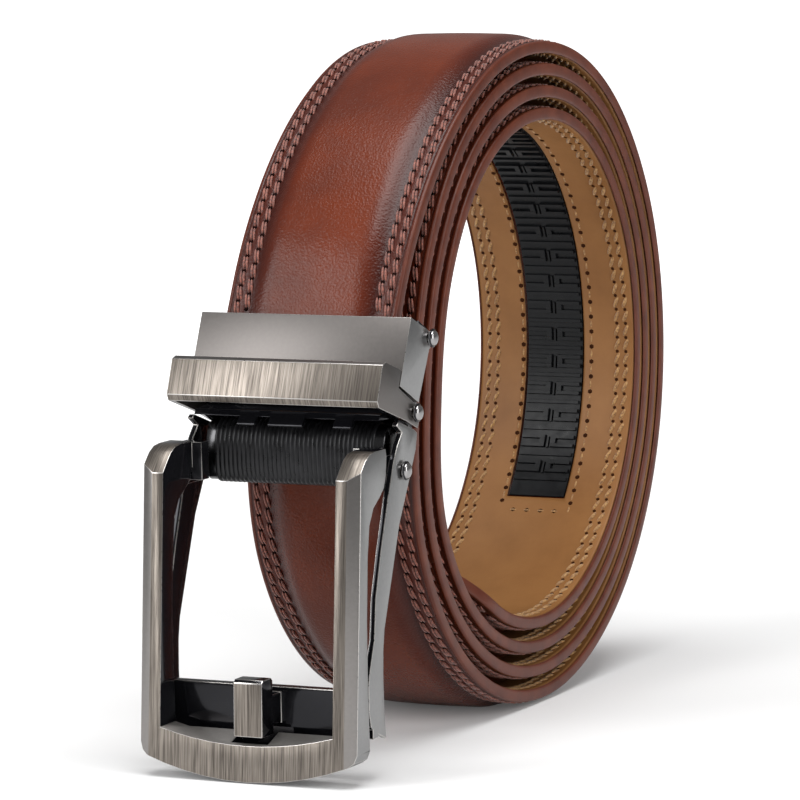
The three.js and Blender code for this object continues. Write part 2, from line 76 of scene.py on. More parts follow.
def newMaterial(name):
    material = bpy.data.materials.new(name)
    material.use_nodes = True
    return material, material.node_tree, material.node_tree.nodes["Principled BSDF"]


def link(tree, value, socket):
    if isinstance(value, bpy.types.NodeSocket):
        tree.links.new(value, socket)
    else:
        isColor = isinstance(value, tuple) and len(socket.default_value) == 4
        socket.default_value = (*value, 1) if isColor else value


def calc(tree, operation, *values):
    node = tree.nodes.new("ShaderNodeMath")
    node.operation = operation
    for socket, value in zip(node.inputs, values):
        link(tree, value, socket)
    return node.outputs[0]


def ramp(tree, source, stops):
    node = tree.nodes.new("ShaderNodeValToRGB")
    elements = node.color_ramp.elements
    while len(elements) < len(stops):
        elements.new(0.5)
    for element, (place, color) in zip(elements, stops):
        element.position = place
        element.color = (*color, 1)
    tree.links.new(source, node.inputs[0])
    return node.outputs[0]


def mixColor(tree, factor, first, second):
    node = tree.nodes.new("ShaderNodeMix")
    node.data_type = 'RGBA'
    link(tree, factor, node.inputs[0])
    link(tree, first, node.inputs[6])
    link(tree, second, node.inputs[7])
    return node.outputs[2]


def rangeOf(tree, value, low, high, toLow, toHigh):
    node = tree.nodes.new("ShaderNodeMapRange")
    for socket, number in zip(node.inputs[:5], (value, low, high, toLow, toHigh)):
        link(tree, number, socket)
    return node.outputs[0]


def noise(tree, vector, scale, detail=3.0, roughness=0.5):
    node = tree.nodes.new("ShaderNodeTexNoise")
    tree.links.new(vector, node.inputs["Vector"])
    link(tree, scale, node.inputs["Scale"])
    node.inputs["Detail"].default_value = detail
    node.inputs["Roughness"].default_value = roughness
    return node.outputs[0]


def mapped(tree, vector, scale):
    node = tree.nodes.new("ShaderNodeMapping")
    tree.links.new(vector, node.inputs["Vector"])
    node.inputs["Scale"].default_value = scale
    return node.outputs[0]


def coords(tree, which="Object"):
    return tree.nodes.new("ShaderNodeTexCoord").outputs[which]


def addBump(tree, shader, height, strength, distance):
    bump = tree.nodes.new("ShaderNodeBump")
    bump.inputs["Strength"].default_value = strength
    bump.inputs["Distance"].default_value = distance
    tree.links.new(height, bump.inputs["Height"])
    tree.links.new(bump.outputs[0], shader.inputs["Normal"])


def newGroup(name, inputs, outputs):
    tree = bpy.data.node_groups.new(name, "ShaderNodeTree")
    for label, kind in inputs:
        tree.interface.new_socket(label, in_out='INPUT', socket_type=kind)
    for label, kind in outputs:
        tree.interface.new_socket(label, in_out='OUTPUT', socket_type=kind)
    return tree, tree.nodes.new("NodeGroupInput").outputs, tree.nodes.new("NodeGroupOutput").inputs


def useGroup(tree, group, **values):
    node = tree.nodes.new("ShaderNodeGroup")
    node.node_tree = group
    for key, value in values.items():
        link(tree, value, node.inputs[key])
    return node.outputs


def makeGrainGroup():
    tree, given, made = newGroup(
        "leatherGrain",
        [("Vector", 'NodeSocketVector'), ("PoreScale", 'NodeSocketFloat'), ("PatchScale", 'NodeSocketFloat')],
        [("Height", 'NodeSocketFloat'), ("Mottle", 'NodeSocketFloat')])
    cells = tree.nodes.new("ShaderNodeTexVoronoi")
    cells.feature = 'SMOOTH_F1'
    tree.links.new(given["Vector"], cells.inputs["Vector"])
    tree.links.new(given["PoreScale"], cells.inputs["Scale"])
    fine = noise(tree, given["Vector"], given["PoreScale"], 4, 0.6)
    height = calc(tree, 'ADD', cells.outputs["Distance"], calc(tree, 'MULTIPLY', fine, 0.6))
    tree.links.new(height, made["Height"])
    tree.links.new(noise(tree, given["Vector"], given["PatchScale"], 5, 0.6), made["Mottle"])
    return tree


def makeBrushGroup():
    tree, given, made = newGroup(
        "brushedLines",
        [("Vector", 'NodeSocketVector'), ("Lines", 'NodeSocketFloat')],
        [("Streak", 'NodeSocketFloat'), ("Height", 'NodeSocketFloat')])
    long = mapped(tree, given["Vector"], (1, 0.02, 0.02))
    coarse = noise(tree, long, given["Lines"], 2, 0.5)
    fine = noise(tree, long, calc(tree, 'MULTIPLY', given["Lines"], 3.1), 2, 0.5)
    streak = calc(tree, 'ADD', calc(tree, 'MULTIPLY', coarse, 0.65), calc(tree, 'MULTIPLY', fine, 0.35))
    tree.links.new(streak, made["Streak"])
    tree.links.new(fine, made["Height"])
    return tree


grainGroup = makeGrainGroup()
brushGroup = makeBrushGroup()

# across the strap the colour holds painted shade: darker down the raised pad's sloping flank and darkest in
# the recess at its foot; the darkest tone also darkens the random mottled patches
leatherLook = {
    "mid": (0.135, 0.023, 0.0065),
    "deep": (0.034, 0.0045, 0.002),
    "edge": (0.088, 0.0155, 0.006),
    "foot": (0.058, 0.009, 0.004),
    "crease": (0.035, 0.008, 0.005),
    "slopeShade": (0.090, 0.0135, 0.004),
    "pores": 2600.0, "patches": 34.0, "halfWidth": 0.0175, "darkest": 0.5,
    "roughLow": 0.23, "roughHigh": 0.34, "specular": 0.24, "coat": 0.06, "coatRough": 0.14,
    "bump": 0.5, "bumpDepth": 0.00014,
}


def makeLeather():
    material, tree, shader = newMaterial("leatherWithPaintedShade")
    uv = coords(tree, "UV")
    grain = useGroup(tree, grainGroup, Vector=uv, PoreScale=leatherLook["pores"],
                     PatchScale=leatherLook["patches"])
    parts = tree.nodes.new("ShaderNodeSeparateXYZ")
    tree.links.new(uv, parts.inputs[0])
    across = calc(tree, 'MULTIPLY', calc(tree, 'ABSOLUTE', parts.outputs[1]), 1 / leatherLook["halfWidth"])
    # painted shade: the pad's flank and the recess at its foot are darkened across the width
    base = ramp(tree, across, [
        (0.0, leatherLook["mid"]), (0.45, leatherLook["mid"]), (0.58, leatherLook["slopeShade"]),
        (0.72, leatherLook["deep"]), (0.80, leatherLook["foot"]), (0.90, leatherLook["edge"]),
        (0.945, leatherLook["crease"]), (0.965, leatherLook["edge"])])
    patchy = rangeOf(tree, grain["Mottle"], 0.38, 0.66, 0.0, leatherLook["darkest"])
    color = mixColor(tree, patchy, base, leatherLook["deep"])
    tree.links.new(color, shader.inputs["Base Color"])
    rough = rangeOf(tree, grain["Mottle"], 0.3, 0.7, leatherLook["roughLow"], leatherLook["roughHigh"])
    tree.links.new(rough, shader.inputs["Roughness"])
    shader.inputs["Specular IOR Level"].default_value = leatherLook["specular"]
    shader.inputs["Coat Weight"].default_value = leatherLook["coat"]
    shader.inputs["Coat Roughness"].default_value = leatherLook["coatRough"]
    addBump(tree, shader, grain["Height"], leatherLook["bump"], leatherLook["bumpDepth"])
    return material


def makeEdgePaint():
    material, tree, shader = newMaterial("edgePaint")
    vector = coords(tree)
    soft = noise(tree, vector, 260.0, 3)
    tree.links.new(ramp(tree, soft, [(0.3, (0.072, 0.014, 0.006)), (0.7, (0.120, 0.028, 0.012))]),
                   shader.inputs["Base Color"])
    shader.inputs["Roughness"].default_value = 0.4
    shader.inputs["Specular IOR Level"].default_value = 0.3
    addBump(tree, shader, noise(tree, vector, 900.0, 3), 0.15, 0.00012)
    return material


def makeLiningLeather():
    material, tree, shader = newMaterial("liningLeather")
    uv = coords(tree, "UV")
    grain = useGroup(tree, grainGroup, Vector=uv, PoreScale=1900.0, PatchScale=40.0)
    tree.links.new(ramp(tree, grain["Mottle"], [(0.3, (0.205, 0.086, 0.023)), (0.7, (0.295, 0.135, 0.042))]),
                   shader.inputs["Base Color"])
    shader.inputs["Roughness"].default_value = 0.5
    shader.inputs["Specular IOR Level"].default_value = 0.3
    addBump(tree, shader, grain["Height"], 0.25, 0.00008)
    return material


def makeThread(name, light, dark):
    material, tree, shader = newMaterial(name)
    vector = coords(tree)
    strands = noise(tree, vector, 2400.0, 2)
    # painted highlight and shade: the noise scatters a lit colour and a shaded colour along the strands
    tree.links.new(ramp(tree, strands, [(0.35, dark), (0.65, light)]), shader.inputs["Base Color"])
    shader.inputs["Roughness"].default_value = 0.5
    shader.inputs["Sheen Weight"].default_value = 0.3
    addBump(tree, shader, strands, 0.5, 0.0001)
    return material


def makeDark(name, color, roughness, metallic, bumpScale, bump, vary=0.25, specular=0.5):
    material, tree, shader = newMaterial(name)
    vector = coords(tree)
    soft = noise(tree, vector, bumpScale, 3)
    darker, lighter = (tuple(share * c for c in color) for share in (1 - vary, 1 + vary))
    tree.links.new(ramp(tree, soft, [(0.3, darker), (0.7, lighter)]), shader.inputs["Base Color"])
    tree.links.new(rangeOf(tree, soft, 0.3, 0.7, roughness * (1 - vary), roughness * (1 + vary)),
                   shader.inputs["Roughness"])
    shader.inputs["Metallic"].default_value = metallic
    shader.inputs["Specular IOR Level"].default_value = specular
    addBump(tree, shader, soft, bump, 0.00005)
    return material


def makeBrushed(name, dark, light, lines, roughness):
    material, tree, shader = newMaterial(name)
    streaks = useGroup(tree, brushGroup, Vector=coords(tree), Lines=lines)
    tree.links.new(ramp(tree, streaks["Streak"], [(0.32, dark), (0.68, light)]), shader.inputs["Base Color"])
    tree.links.new(rangeOf(tree, streaks["Streak"], 0.3, 0.7, roughness + 0.06, roughness - 0.05),
                   shader.inputs["Roughness"])
    shader.inputs["Metallic"].default_value = 1.0
    addBump(tree, shader, streaks["Height"], 0.25, 0.00004)
    return material


leatherTop = makeLeather()
edgePaint = makeEdgePaint()
liningLeather = makeLiningLeather()
# each thread has a lit and a shaded colour, painted highlight and shade
redThread = makeThread("redThread", (0.29, 0.085, 0.052), (0.07, 0.014, 0.008))
goldThread = makeThread("goldThread", (0.46, 0.255, 0.085), (0.20, 0.09, 0.026))
# the stitch holes are dark discs of painted shade, standing in for the shade inside each hole
stitchHoleShade = makeDark("paintedStitchHoleShade", (0.008, 0.002, 0.0015), 0.9, 0.0, 900.0, 0.2, 0.25, 0.05)
liningHoleShade = makeDark("paintedLiningHoleShade", (0.035, 0.011, 0.004), 0.9, 0.0, 900.0, 0.2, 0.25, 0.05)
trackBlack = makeDark("trackPlastic", (0.005, 0.0055, 0.0065), 0.36, 0.0, 500.0, 0.1, 0.25, 0.22)
brushedGrey = makeBrushed("brushedGrey", (0.080, 0.069, 0.060), (0.31, 0.275, 0.24), 4600.0, 0.36)
satinGrey = makeDark("satinGrey", (0.165, 0.153, 0.146), 0.40, 1.0, 1500.0, 0.01, 0.04)
darkGrey = makeDark("darkGrey", (0.31, 0.31, 0.31), 0.36, 1.0, 1500.0, 0.01, 0.04)
glossBlack = makeDark("glossBlack", (0.013, 0.013, 0.016), 0.10, 0.6, 900.0, 0.01, 0.06)
ledgeGrey = makeDark("ledgeGrey", (0.50, 0.475, 0.45), 0.42, 1.0, 1500.0, 0.01, 0.04)
bevelGrey = makeDark("bevelGrey", (0.27, 0.255, 0.245), 0.32, 1.0, 1500.0, 0.01, 0.04)
collarGrey = makeDark("collarGrey", (0.075, 0.075, 0.078), 0.25, 1.0, 1500.0, 0.01, 0.04)
# a paler metal on the rounded edges: a painted highlight along every edge
edgeHighlight = makeDark("edgeHighlight", (0.50, 0.48, 0.46), 0.28, 1.0, 1500.0, 0.01, 0.04)
pinSteel = makeDark("pinSteel", (0.36, 0.35, 0.35), 0.18, 1.0, 1500.0, 0.01, 0.05)
ribBlack = makeDark("ribBlack", (0.022, 0.022, 0.024), 0.34, 0.5, 700.0, 0.08)
print("materials made")


# the coil, as in the part's source, in millimetres
coil = {
    "radius": 65.0, "sweep": 1379.0, "start": 161.0, "pitch": 4.5, "swing": 0.4, "slack": -155.0,
    "bulge": 4.2, "bulgeSweep": 45.0, "press": 0.9, "held": 17.3,
    "shape": (0.945, 1.022, 1.049, 1.041, 1.017, 0.997, 0.988, 1.0, 1.010, 0.995, 0.972, 0.945),
}
strap = {"half": 17.5, "crown": 1.4, "heldCrown": 0.6, "heldFall": 0.5, "crownRise": 2.0,
         "heldRows": 10, "rows": 900, "tipTurns": (8, 16, 24, 32, 40, 48, 56, 63, 70, 76, 81, 85, 88)}


def shapeAt(angle):
    shares = np.array(coil["shape"])
    turn = np.mod(np.asarray(angle, float) + 180, 360) / 30
    index = np.floor(turn).astype(int)
    t = turn - index
    before, here, after, beyond = (shares[(index + step) % 12] for step in (-1, 0, 1, 2))
    slopeHere, slopeAfter = (after - before) / 2, (beyond - here) / 2
    cubic = 2 * here - 2 * after + slopeHere + slopeAfter
    square = 3 * after - 3 * here - 2 * slopeHere - slopeAfter
    return coil["radius"] * (cubic * t ** 3 + square * t ** 2 + slopeHere * t + here)


def radiusAt(swept):
    angle = coil["start"] - swept
    pitch = coil["pitch"] + coil["swing"] * np.cos(np.radians(angle - coil["slack"]))
    left = np.clip(1 - swept / coil["bulgeSweep"], 0, None)
    return shapeAt(angle) - pitch * swept / 360 + coil["bulge"] * left ** 1.6


coilHeight = float(radiusAt(np.array(coil["start"] + 90.0))) + strap["crown"] - coil["press"]


def coilPoint(swept):
    angle = np.radians(coil["start"] - swept)
    radius = radiusAt(swept)
    return np.stack([np.cos(angle) * radius, coilHeight + np.sin(angle) * radius], -1)


sweepTable = np.linspace(0, coil["sweep"] + 2, 6000)
pointTable = coilPoint(sweepTable)
lengthTable = np.concatenate([[0], np.cumsum(np.linalg.norm(np.diff(pointTable, axis=0), axis=1))])
strapLength = float(np.interp(coil["sweep"], sweepTable, lengthTable))
roundStart = strapLength - strap["half"]


def frameAt(length):
    length = np.asarray(length, float)
    swept = np.interp(np.clip(length, 0, None), lengthTable, sweepTable)
    place = coilPoint(swept)
    along = coilPoint(swept + 0.5) - coilPoint(swept - 0.5)
    along /= np.linalg.norm(along, axis=-1, keepdims=True)
    place = place + along * np.minimum(length, 0)[..., None]
    return place, along, np.stack([-along[..., 1], along[..., 0]], -1)


def strapPoint(length, x, lift):
    place, along, out = frameAt(length)
    spot = place + out * np.asarray(lift)[..., None]
    x = np.broadcast_to(np.asarray(x, float), spot.shape[:-1])
    return np.stack([x, spot[..., 0], np.maximum(spot[..., 1], 0)], -1) * mm


def crownAt(length):
    swept = np.interp(np.clip(length, 0, None), lengthTable, sweepTable)
    held = strap["heldCrown"] + strap["heldFall"] * np.minimum(length, 0) / coil["held"]
    rising = strap["heldCrown"] + strap["crownRise"] * swept / coil["bulgeSweep"]
    return np.where(np.asarray(length) < 0, held, np.minimum(1, rising))


def roundShare(length):
    lean = np.clip((np.asarray(length) - roundStart) / strap["half"], 0, 0.9995)
    return np.sqrt(1 - lean ** 2)


def newPiece(name, points, faces, materials, slots=None, uv=None, smooth=True):
    mesh = bpy.data.meshes.new(name)
    mesh.from_pydata([tuple(p) for p in points], [], faces)
    for material in materials:
        mesh.materials.append(material)
    if slots is not None:
        mesh.polygons.foreach_set("material_index", slots)
    mesh.polygons.foreach_set("use_smooth", [smooth] * len(mesh.polygons))
    if uv is not None:
        layer = mesh.uv_layers.new(name="along")
        corners = np.zeros(len(mesh.loops), int)
        mesh.loops.foreach_get("vertex_index", corners)
        layer.data.foreach_set("uv", np.asarray(uv, dtype=np.float32)[corners].ravel())
    mesh.update()
    piece = bpy.data.objects.new(name, mesh)
    bpy.context.collection.objects.link(piece)
    return piece


def activate(piece):
    bpy.ops.object.select_all(action='DESELECT')
    piece.select_set(True)
    bpy.context.view_layer.objects.active = piece


def ringFaces(rings, count):
    faces = []
    for first in range(0, (rings - 1) * count, count):
        for side in range(count):
            after = (side + 1) % count
            faces.append((first + side, first + after, first + count + after, first + count + side))
    last = (rings - 1) * count
    return faces + [tuple(range(count))[::-1], tuple(last + s for s in range(count))]


def sheetUv(lengths, across, shape):
    rows = np.broadcast_to(lengths[:, None], shape) * mm
    return np.stack([rows, np.broadcast_to(across[None, :] * mm, shape)], -1).reshape(-1, 2)


def outward(piece):
    activate(piece)
    bpy.ops.object.mode_set(mode='EDIT')
    bpy.ops.mesh.select_all(action='SELECT')
    bpy.ops.mesh.normals_make_consistent(inside=False)
    bpy.ops.object.mode_set(mode='OBJECT')


# half of the strap's section, from the middle line to the rim: (x, share of the crown, own lift)
strapSection = [
    (0.0, 1.0, 0.12), (3.0, 1.0, 0.10), (6.0, 1.0, 0.05), (8.2, 0.99, 0.02), (9.2, 0.955, 0.0),
    (9.9, 0.88, 0.0), (10.5, 0.74, 0.0),
    (11.1, 0.52, 0.0), (11.7, 0.28, 0.0), (12.2, 0.1, 0.0), (12.6, 0.02, -0.03),
    (13.0, 0.0, -0.07), (13.5, 0.0, -0.15), (14.0, 0.0, -0.06), (14.5, 0.0, -0.03), (15.0, 0.0, -0.07),
    (15.5, 0.0, -0.15), (16.0, 0.0, -0.05), (16.35, 0.0, -0.02), (16.52, 0.0, -0.13), (16.7, 0.0, -0.02),
    (17.05, 0.0, -0.03), (17.3, 0.0, -0.12), (17.44, 0.0, -0.27), (17.5, 0.0, -0.5), (17.5, 0.0, -1.2),
    (17.5, 0.0, -1.9), (17.42, 0.0, -2.2), (17.28, 0.0, -2.36), (17.12, 0.0, -2.4), (17.1, 0.0, -1.45),
]
paintFrom = 21  # place in the list above where the painted rim starts


def makeStrapPiece():
    lengths = np.concatenate([
        np.linspace(-coil["held"], 0, strap["heldRows"])[:-1], np.linspace(0, roundStart, strap["rows"]),
        roundStart + strap["half"] * np.sin(np.radians(strap["tipTurns"]))])
    right = strapSection
    left = [(-x, share, lift) for x, share, lift in reversed(right[1:])]
    section = np.array(right + left)
    count = len(section)
    share = roundShare(lengths)
    crown = strap["crown"] * crownAt(lengths) * share ** 2
    x = share[:, None] * section[None, :, 0]
    pad = np.clip(section[None, :, 2], 0, None) * crownAt(lengths)[:, None]
    lift = crown[:, None] * section[None, :, 1] + np.where(section[None, :, 2] > 0, pad, section[None, :, 2])
    points = strapPoint(np.broadcast_to(lengths[:, None], x.shape), x, lift).reshape(-1, 3)
    uv = sheetUv(lengths, section[:, 0], x.shape)
    faces = ringFaces(len(lengths), count)
    half = len(right)
    paint = [paintFrom <= s < half - 1 or half <= s < 2 * half - 1 - paintFrom for s in range(count)]
    slots = [1 if paint[s] else 0 for r in range(len(lengths) - 1) for s in range(count)] + [1, 1]
    piece = newPiece("belt_strap", points, faces, [leatherTop, edgePaint], slots=slots, uv=uv)
    outward(piece)
    return piece


strapPiece = makeStrapPiece()
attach(strapPiece, "belt")
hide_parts("strap")
print("strap made", len(strapPiece.data.polygons))


# the lining with its slot, and the track in it
slot = {"endAngle": -40, "turnsBefore": 3, "length": 250}
slotEnd = coil["start"] - slot["endAngle"] + 360 * slot["turnsBefore"]
slotSweep = slot["length"] / float(radiusAt(np.array(slotEnd))) * 180 / math.pi
slotFrom = float(np.interp(slotEnd - slotSweep, sweepTable, lengthTable))
slotTo = float(np.interp(slotEnd, sweepTable, lengthTable))
lining = {
    "face": 2.4, "thick": 0.78, "slotColumn": 5, "slotReach": 7.1, "endGap": 1,
    "across": (-16.9, -16.4, -12.0, -8.2, -7.4, -7.0, 5.9, 6.3, 8.0, 12.0, 16.4, 16.9),
    "dip": (0.12, 0.0, 0.0, 0.0, 0.0, 0.14, 0.14, 0.0, 0.0, 0.0, 0.0, 0.12),
    "rowsBefore": 620, "rowsBeside": 170, "rowsAfter": 60, "tipTurns": (10, 22, 34, 46, 58, 70, 80, 86),
}


def makeLiningPiece():
    lengths = np.unique(np.concatenate([
        np.linspace(-coil["held"], slotFrom, lining["rowsBefore"]),
        np.linspace(slotFrom, slotTo, lining["rowsBeside"]),
        np.linspace(slotTo, roundStart, lining["rowsAfter"]),
        roundStart + strap["half"] * np.sin(np.radians(lining["tipTurns"]))]))
    across = np.array(lining["across"])
    dip = np.array(lining["dip"])
    share = roundShare(lengths)
    x = share[:, None] * across[None, :]
    lift = np.broadcast_to(-lining["face"] + dip[None, :], x.shape)
    inSlot = (lengths > slotFrom - lining["endGap"]) & (lengths < slotTo + lining["endGap"])
    beside = np.abs(across) < lining["slotReach"]
    lift = np.where(beside[None, :] & ~inSlot[:, None], -lining["face"], lift)
    points = strapPoint(np.broadcast_to(lengths[:, None], x.shape), x, lift).reshape(-1, 3)
    uv = sheetUv(lengths, across, x.shape)
    count = len(across)
    faces = []
    for row in range(len(lengths) - 1):
        middle = (lengths[row] + lengths[row + 1]) / 2
        for column in range(count - 1):
            if column == lining["slotColumn"] and slotFrom < middle < slotTo:
                continue
            a = row * count + column
            faces.append((a, a + 1, a + count + 1, a + count))
    piece = newPiece("belt_lining", points, faces, [liningLeather], uv=uv)
    activate(piece)
    thick = piece.modifiers.new("thickness", 'SOLIDIFY')
    thick.thickness = lining["thick"] * mm
    thick.offset = 1
    thick.use_even_offset = False
    bpy.ops.object.modifier_apply(modifier=thick.name)
    return piece


liningPiece = makeLiningPiece()
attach(liningPiece, "belt")
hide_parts("lining")
print("lining made")

track = {
    "left": -6.7, "right": 5.6, "endGap": 0.6, "step": 1.45, "overlap": 0.12, "inset": 0.12,
    "pitch": 5.8, "first": 0.5, "margin": 0.3, "middleGap": 0.55, "sink": 0.1,
    "top": 1.86, "base": 2.08, "bar": 2.42, "block": 2.62,
    "crossbar": (3.9, 4.8), "spine": (0.3, 3.0), "spineHalf": 0.3,
    "arms": ((0, 0.95), (1.9, 2.85)), "joiner": (0.7, 2.1), "joinerReach": 1.3,
}


def slab(x0, x1, s0, s1, liftTop, liftFace):
    corners = []
    for lift, inset in ((liftTop, 0), (liftFace, track["inset"])):
        near, far, left, right = s0 + inset, s1 - inset, x0 + inset, x1 - inset
        corners += [(near, left, -lift), (near, right, -lift), (far, right, -lift), (far, left, -lift)]
    return corners, [(0, 1, 2, 3), (7, 6, 5, 4), (0, 4, 5, 1), (1, 5, 6, 2), (2, 6, 7, 3), (3, 7, 4, 0)]


def makeTrackPiece():
    rows, faces = [], []

    def put(*box):
        corners, sides = slab(*box)
        shift = len(rows)
        rows.extend(corners)
        faces.extend(tuple(shift + i for i in side) for side in sides)

    start, end = slotFrom + track["endGap"], slotTo - track["endGap"]
    steps = int((end - start) / track["step"])
    for step in range(steps):
        a = start + (end - start) * step / steps
        b = start + (end - start) * (step + 1) / steps
        put(track["left"], track["right"], a - track["overlap"], b + track["overlap"],
            track["top"], track["base"])
    sunk = track["base"] - track["sink"]
    middle = (track["left"] + track["right"]) / 2
    reach = (track["right"] - track["left"]) / 2 - track["margin"]
    for tooth in range(int((end - start) / track["pitch"])):
        a = start + track["first"] + tooth * track["pitch"]
        barFrom, barTo = track["crossbar"]
        put(middle - reach, middle + reach, a + barFrom, a + barTo, sunk, track["bar"])
        for side in (-1, 1):
            near, far = middle + side * track["middleGap"], middle + side * reach
            blocks = [(near, far, first, last) for first, last in track["arms"]]
            blocks.append((near, near + side * track["joinerReach"], *track["joiner"]))
            for low, high, first, last in blocks:
                put(min(low, high), max(low, high), a + first, a + last, sunk, track["block"])
        spineFrom, spineTo = track["spine"]
        put(middle - track["spineHalf"], middle + track["spineHalf"], a + spineFrom, a + spineTo,
            sunk, track["bar"])
    rows = np.array(rows)
    points = strapPoint(rows[:, 0], rows[:, 1], rows[:, 2])
    piece = newPiece("belt_track", points, faces, [trackBlack], smooth=False)
    outward(piece)
    return piece


trackPiece = makeTrackPiece()
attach(trackPiece, "belt")
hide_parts("ratchet_track")
print("track made", len(trackPiece.data.polygons))


# stitches: one short twisted lump of thread, copied along each row
stitch = {
    "pitch": 3.0, "length": 2.9, "radius": 0.25, "apart": 0.27, "slant": 12.0, "outer": 15.5, "inner": 13.5,
    "lift": 0.10, "holeLift": -0.06, "holeRadius": 0.46, "outerStart": -4.0, "innerStart": -2.6,
    "sides": 6, "fall": 0.22, "flat": 1.05, "stagger": 0.05, "holeDepth": 0.09,
    "bulges": ((-0.5, 0.35), (-0.36, 0.85), (-0.12, 1.0), (0.12, 1.0), (0.36, 0.85), (0.5, 0.35)),
}
liningStitch = {
    "length": 2.7, "radius": 0.36, "slant": 24.0, "outer": 15.2, "inner": 13.3, "start": 4.0,
    "lift": -2.44, "holeLift": -2.37, "holeRadius": 0.4,
}
slotStitch = {
    "x": 7.6, "pitch": 3.2, "first": 2.0, "last": 2.5, "end": 3.4, "across": 6, "forward": 1.6,
    "length": 2.0, "radius": 0.24, "lift": -2.33, "holeLift": -2.38, "holeRadius": 0.52,
}


def rowPath(x, startAt):
    straight = np.arange(startAt, roundStart, stitch["pitch"])
    path = [(s, x, 0.0) for s in straight]
    step = stitch["pitch"] / x
    leans = np.arange(step * 0.7, math.pi, step)
    path += [(roundStart + x * math.sin(a), x * math.cos(a), a) for a in leans]
    path += [(s, -x, math.pi) for s in straight[::-1]]
    return path


def lump(sides, bulges):
    rings = []
    turns = [2 * math.pi * k / sides for k in range(sides)]
    for along, girth in bulges:
        rings.append([(along, math.cos(turn) * girth, math.sin(turn) * girth) for turn in turns])
    return np.array(rings).reshape(-1, 3), ringFaces(len(bulges), sides)


def makeStitches(name, path, lift, inside, radius, length, material, slant, apart=0.0):
    shape, faces = lump(stitch["sides"], stitch["bulges"])
    if apart:                         # two strands side by side
        faces = faces + [tuple(i + len(shape) for i in face) for face in faces]
        shift = np.array([stitch["stagger"], apart / radius, 0.0])
        shape = np.concatenate([shape - shift, shape + shift])
    allPoints, allFaces = [], []
    for s, x, heading in path:
        turn = heading + math.radians(slant) * (1 if x >= 0 else -1) * (1 if heading == 0 else -1)
        a = shape[:, 0] * length
        c = shape[:, 1] * radius * stitch["flat"]
        h = shape[:, 2] * radius
        fall = -stitch["fall"] * (2 * shape[:, 0]) ** 2
        sAll = s + a * math.cos(turn) - c * math.sin(turn)
        xAll = x - a * math.sin(turn) - c * math.cos(turn)
        side = -1 if inside else 1
        shift = len(allPoints) * len(shape)
        allPoints.append(strapPoint(sAll, xAll, lift + side * (h + fall)))
        allFaces.extend(tuple(shift + i for i in face) for face in faces)
    piece = newPiece(name, np.concatenate(allPoints), allFaces, [material])
    outward(piece)
    return piece


# a small dark disc at each stitch hole: painted shade in place of the hole's own shade
def makeHoleShades(name, path, lift, inside, radius, material, gap):
    circle = [(math.cos(k * math.pi / 3), math.sin(k * math.pi / 3)) for k in range(6)]
    rim = [(*spot, 0.35) for spot in circle] + [(*spot, -1.0) for spot in circle]
    shape = np.array([(0.0, 0.0, 1.0)] + rim + [(0.0, 0.0, -1.0)])
    faces = [(0, 1 + k, 1 + (k + 1) % 6) for k in range(6)]
    faces += [(1 + k, 7 + k, 7 + (k + 1) % 6, 1 + (k + 1) % 6) for k in range(6)]
    faces += [(13, 7 + (k + 1) % 6, 7 + k) for k in range(6)]
    allPoints, allFaces = [], []
    for s, x, heading in path:
        s = s + gap * math.cos(heading)
        x = x - gap * math.sin(heading)
        shift = len(allPoints) * len(shape)
        side = -1 if inside else 1
        height = lift + side * shape[:, 2] * stitch["holeDepth"]
        allPoints.append(strapPoint(s + shape[:, 0] * radius, x + shape[:, 1] * radius, height))
        allFaces.extend(tuple(shift + i for i in face) for face in faces)
    piece = newPiece(name, np.concatenate(allPoints), allFaces, [material])
    outward(piece)
    return piece


def addStitching():
    pieces = []
    for name in ("outer", "inner"):
        path = rowPath(stitch[name], stitch[name + "Start"])
        pieces.append(makeStitches("stitches_" + name, path, stitch["lift"], False, stitch["radius"],
                                   stitch["length"], redThread, stitch["slant"], stitch["apart"]))
        pieces.append(makeHoleShades("holes_" + name, path, stitch["holeLift"], False, stitch["holeRadius"],
                                stitchHoleShade, stitch["pitch"] / 2))
    own = liningStitch
    for name in ("outer", "inner"):
        path = rowPath(own[name], own["start"])
        pieces.append(makeStitches("lining_stitches_" + name, path, own["lift"], True, own["radius"],
                                   own["length"], goldThread, own["slant"]))
        pieces.append(makeHoleShades("lining_hole_shades_" + name, path, own["holeLift"], True, own["holeRadius"],
                                liningHoleShade, stitch["pitch"] / 2))
    own = slotStitch
    span = np.arange(slotFrom + own["first"], slotTo + own["last"], own["pitch"])
    across = np.linspace(-1, 1, own["across"])[1:-1] * own["x"]
    path = [(s, own["x"], 0.0) for s in span] + [(slotTo + own["end"], -x, math.pi / 2) for x in across] \
        + [(s, -own["x"], math.pi) for s in span]
    pieces.append(makeHoleShades("slot_hole_shades", path, own["holeLift"], True, own["holeRadius"], liningHoleShade, 0.0))
    threads = [(s + own["forward"] * math.cos(h), x, h) for s, x, h in path]
    pieces.append(makeStitches("slot_stitches", threads, own["lift"], True, own["radius"], own["length"],
                               goldThread, 0.0))
    for piece in pieces:
        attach(piece, "belt")


addStitching()
print("stitches made")


# hard pieces: the CAD solid with its edges rounded, and a finish for each kind of face

edges = {"merge": 0.00002, "flat": 1.5, "angle": 28, "segments": 2, "smooth": 32}


